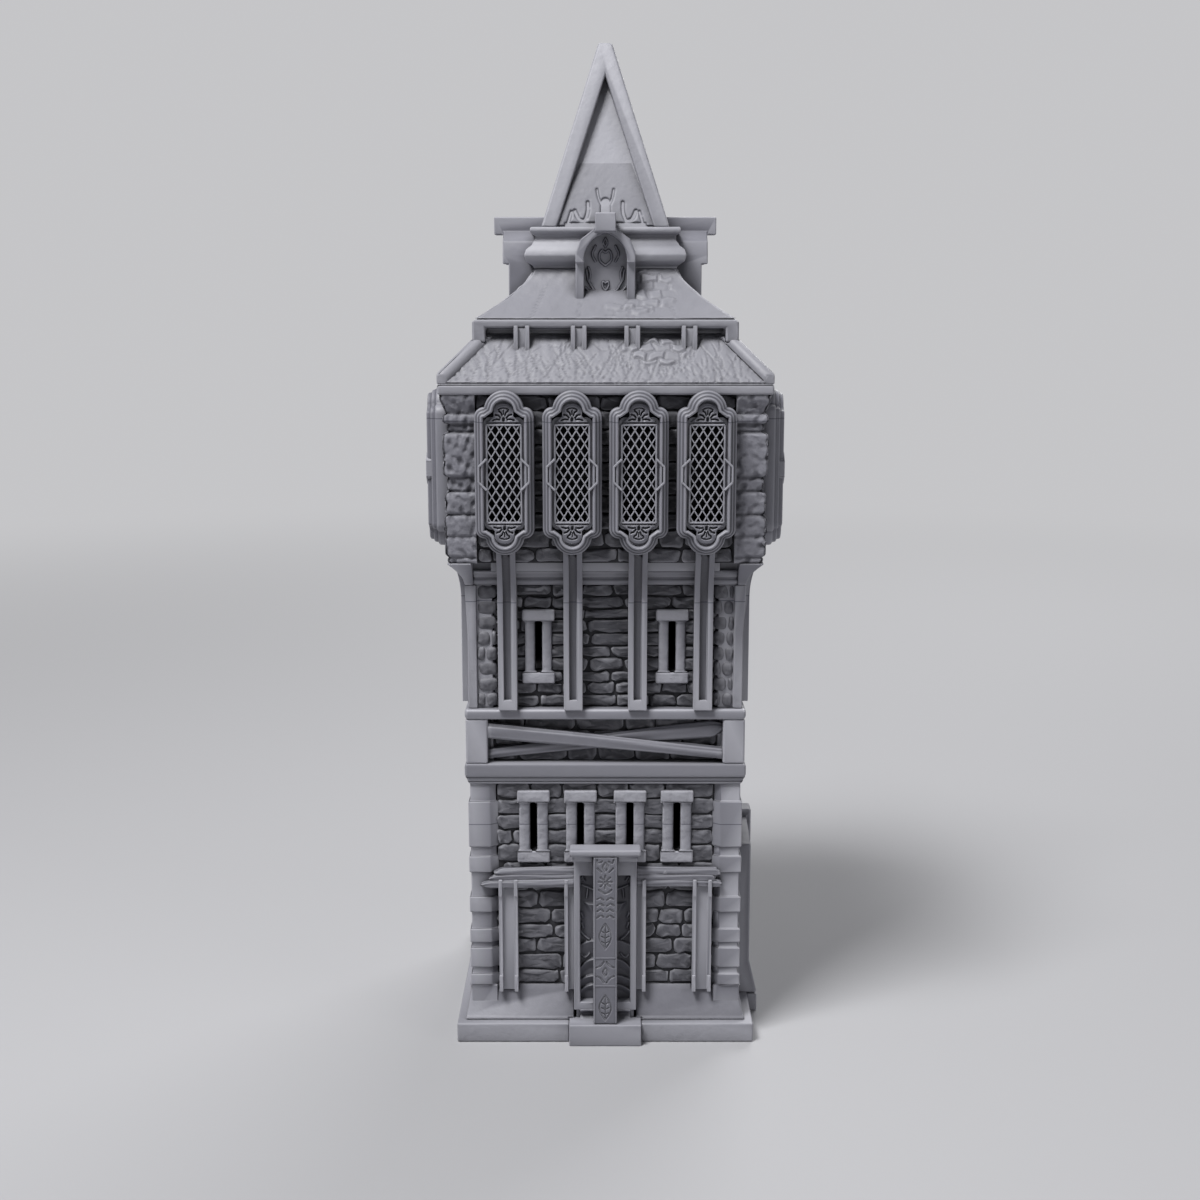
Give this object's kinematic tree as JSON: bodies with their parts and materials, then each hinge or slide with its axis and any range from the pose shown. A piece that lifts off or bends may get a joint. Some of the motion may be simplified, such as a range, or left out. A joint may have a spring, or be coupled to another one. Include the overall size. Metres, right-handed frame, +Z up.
{
  "type": "watchtower model",
  "caption": "Hollow tabletop model of a square gothic watchtower with timber bands, tall lattice windows, hipped roofs, dormers and a steep spire, for miniature scenery",
  "frame": {"origin": "centre of the underside of the base", "axes": "+Z up, the carved portal faces -Y, the arched door surround faces +X"},
  "size_m": [0.0928, 0.0928, 0.2646],
  "materials": {
    "resin_stonework": "matt cast resin, rough stone texture",
    "resin_timberwork": "satin cast resin, smooth dressed stone and timber",
    "resin_carving": "satin cast resin, crisp carved relief",
    "resin_roofwork": "satin cast resin, fine cracked thatch texture"
  },
  "bodies": {
    "root": {"plinth_slab": "resin_stonework", "plinth_batter": "resin_stonework", "ground_walls": "resin_stonework", "corner_piers": "resin_timberwork", "grooved_posts": "resin_timberwork", "lintel_beams": "resin_timberwork", "ground_window_surrounds": "resin_stonework", "portal_step": "resin_carving", "portal_frame": "resin_carving", "portal_panel": "resin_carving", "portal_centre_post": "resin_carving", "portal_cap": "resin_carving", "door_surround": "resin_stonework", "door_leaf": "resin_timberwork", "door_step": "resin_stonework", "lower_band": "resin_timberwork", "brace_walls": "resin_stonework", "brace_posts": "resin_timberwork", "cross_braces": "resin_timberwork", "upper_band": "resin_timberwork", "middle_floor": "resin_timberwork", "middle_walls": "resin_stonework", "middle_corner_posts": "resin_stonework", "channel_posts": "resin_timberwork", "middle_window_surrounds": "resin_stonework", "top_rails": "resin_timberwork", "corbels": "resin_timberwork", "upper_floor": "resin_timberwork", "upper_walls": "resin_stonework", "upper_corner_piers": "resin_stonework", "front_window_frames": "resin_carving", "right_window_frames": "resin_carving", "back_window_frames": "resin_carving", "left_window_frames": "resin_carving", "window_panels": "resin_carving", "eave_fascia": "resin_roofwork", "lower_roof": "resin_roofwork", "hip_beams": "resin_roofwork", "roof_posts": "resin_roofwork", "upper_eave": "resin_roofwork", "concave_roof": "resin_roofwork", "roof_cornice": "resin_roofwork", "dormer_frames": "resin_carving", "dormer_panels": "resin_carving", "spire_faces": "resin_roofwork", "spire_ridges": "resin_roofwork"}
  },
  "joints": []
}
